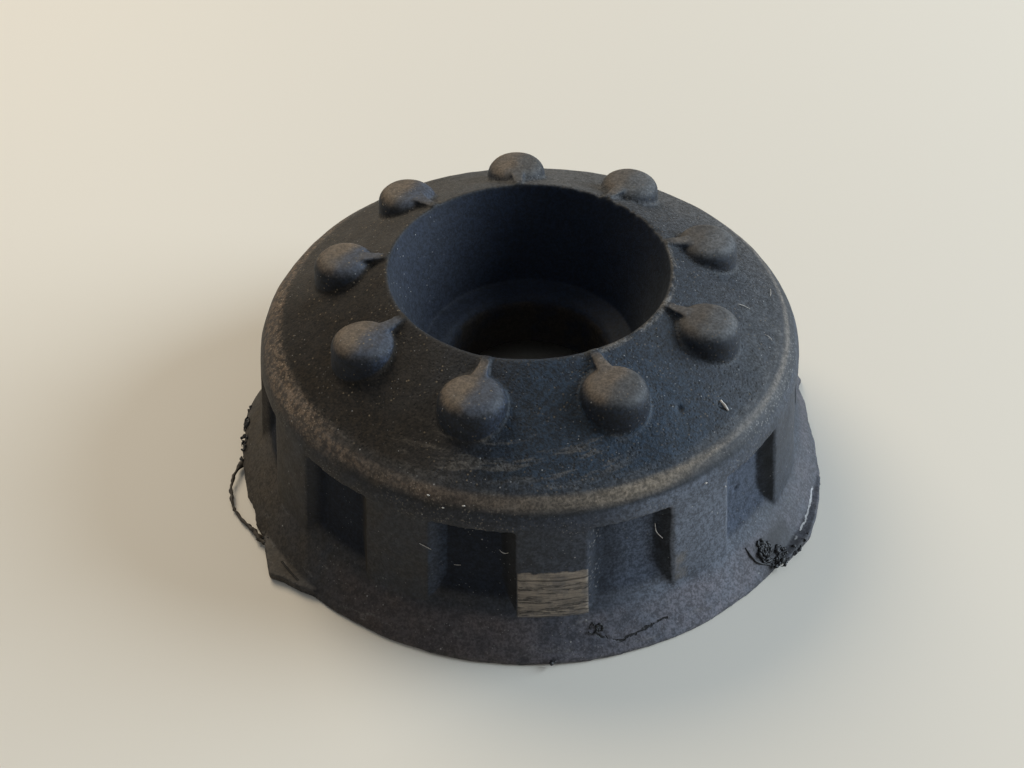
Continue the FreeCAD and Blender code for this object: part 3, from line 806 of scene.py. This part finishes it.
draw = random.Random(7)
curls = heap(draw, 18, (314.3, 316.2), (56.4, 60.4), (1.4, 3.4), (0.15, 0.5))
curls += heap(draw, 12, (316.0, 319.0), (58.8, 60.9), (1.0, 2.6), (0.15, 0.5))
curls += heap(draw, 18, (318.5, 327), (59.9, 61.4), (0.9, 2.4), (0.12, 0.40))
curls += heap(draw, 6, (276.7, 278.8), (56.4, 57.4), (1.0, 2.0), (0.15, 0.5))
curls += heap(draw, 16, (171, 188), (58.6, 59.3), (0.9, 2.0), (0.10, 0.35))
curls += heap(draw, 6, (207.5, 210), (59.2, 60.2), (0.6, 1.4), (0.10, 0.35))
curls += heap(draw, 3, (268.9, 269.7), (60.1, 60.3), (0.5, 0.9))
curls.append(strand([on_skirt(311.2, 55.4, 0.2), on_skirt(311.3, 56.7, 0.3), on_skirt(312.4, 58.4, 0.2),
                     on_skirt(314.6, 59.3, 0.2)], [0.25, 0.45, 0.4, 0.3], 0.15))
crumbs = finished_piece("torn_curls", joined(*curls))
fresh = bpy.data.materials.new("torn_rubber")
fresh.use_nodes = True
fresh.node_tree.nodes["Principled BSDF"].inputs["Base Color"].default_value = (0.011, 0.011, 0.012, 1)
fresh.node_tree.nodes["Principled BSDF"].inputs["Roughness"].default_value = 0.55
crumbs.data.materials.append(fresh)
print("curls:", len(curls), "with", len(crumbs.data.polygons), "faces")

# %% [markdown]
# ## Dust and fibres
#
# Pale hairs and a sliver of dry debris cling to the rubber. They are too thin to be part of the casting, but at
# this distance they catch the eye, and they show the size of the thing. Each is a short strand of its own.

# %% Fibres
FIBRES = [
    # points in millimetres and thickness
    ([(-22.3, -48.2, 20.9), (-21.2, -48.6, 20.4), (-20.4, -48.6, 19.6)], 0.16),
    ([(-8.9, -50.2, 20.5), (-8.2, -51.4, 20.4), (-7.4, -51.2, 20.7)], 0.16),
    ([(-16.7, -48.6, 15.2), (-16.2, -48.9, 15.4), (-15.5, -48.7, 15.1)], 0.14),
    ([(17.9, -47.6, 21.9), (17.9, -48.3, 20.9), (18.4, -48.3, 19.8), (19.3, -48.4, 18.7)], 0.15),
    ([(38.6, -7.8, 36.1), (39.8, -7.7, 35.7), (40.9, -8.1, 35.0)], 0.16),
    ([(47.0, 0.6, 32.5), (46.9, -0.7, 32.6), (46.4, -1.9, 32.7)], 0.12),
    ([(42.7, -13.7, 33.4), (43.6, -14.0, 33.2), (43.9, -14.9, 32.8)], 0.12),
    ([(-20.4, -45.9, 30.5), (-20.2, -46.0, 30.5), (-20.0, -46.1, 30.4)], 0.3),
    ([(-18.0, -47.9, 29.3), (-17.9, -48.0, 29.4), (-17.7, -48.0, 29.3)], 0.3),
    ([(-14.7, -48.4, 30.0), (-14.5, -48.5, 30.1), (-14.2, -48.5, 30.1)], 0.3),
    ([(26.4, -44.7, 27.9), (26.6, -44.7, 28.0), (26.8, -44.5, 27.9)], 0.35),
    ([(30.6, -42.6, 24.6), (30.7, -42.6, 24.5), (30.8, -42.4, 24.3)], 0.3),
]
fibres = [strand(points, [thick * 0.7] + [thick] * (len(points) - 2) + [thick * 0.6]) for points, thick in FIBRES]
fibres.append(strand([(31.1, -31.0, 33.9), (31.6, -31.8, 33.6), (32.2, -32.7, 33.0)], [0.35, 0.6, 0.3], 0.1))
pale = finished_piece("dust_fibres", joined(*fibres))
print("fibres:", len(fibres))

# %% Pale fibre
fluff = bpy.data.materials.new("pale_fibre")
fluff.use_nodes = True
fibre_tree = fluff.node_tree
fibre_spot = Signal(fibre_tree).node("ShaderNodeTexCoord", output="Object")
fibre_spot = fibre_spot.vector("MULTIPLY", fibre_spot, (1000, 1000, 1000))
fibre_colour = fibre_spot.noise(0.6, 2).rise(0.35, 0.65).paint(grey(0.32, 0.10), grey(0.55, 0.06))
fibre_tree.links.new(fibre_colour.socket, fibre_tree.nodes["Principled BSDF"].inputs["Base Color"])
fibre_tree.nodes["Principled BSDF"].inputs["Roughness"].default_value = 0.8
pale.data.materials.append(fluff)

# %% [markdown]
# ## Floor and light
#
# The part stands on a plain pale floor. A cool soft light comes from the right, low, like a window, and a warm one
# from behind on the left. Hard lamps would show the shape as well, but not the soft grey sheen of worn
# rubber. The levels are such that a colour comes out about as it is written.

# %% Floor
plane = bmesh.new()
bmesh.ops.create_grid(plane, x_segments=1, y_segments=1, size=2)
floor_mesh = bpy.data.meshes.new("floor")
plane.to_mesh(floor_mesh)
plane.free()
floor = bpy.data.objects.new("floor", floor_mesh)
scene.collection.objects.link(floor)
paint = bpy.data.materials.new("floor_paint")
paint.use_nodes = True
paint.node_tree.nodes["Principled BSDF"].inputs["Base Color"].default_value = (0.74, 0.69, 0.60, 1)
paint.node_tree.nodes["Principled BSDF"].inputs["Roughness"].default_value = 0.55
floor_mesh.materials.append(paint)


# %% Light
def soft_lamp(name, place, size, power, tint):
    lamp = bpy.data.objects.new(name, bpy.data.lights.new(name, "AREA"))
    scene.collection.objects.link(lamp)
    lamp.data.shape = "DISK"
    lamp.data.size = size
    lamp.data.energy = power
    lamp.data.color = tint
    lamp.location = place
    lamp.rotation_euler = (-Vector(place)).to_track_quat("-Z", "Y").to_euler()


soft_lamp("window", (1.20, 0.08, 0.52), 0.9, 22.0, (0.74, 0.87, 1.0))
soft_lamp("room", (-0.50, 0.88, 0.92), 0.8, 10.0, (1.0, 0.86, 0.66))
world = bpy.data.worlds.new("studio")
world.use_nodes = True
world.node_tree.nodes["Background"].inputs["Color"].default_value = (0.90, 0.95, 1.0, 1)
world.node_tree.nodes["Background"].inputs["Strength"].default_value = 0.25
scene.world = world
scene.view_settings.view_transform = "Standard"
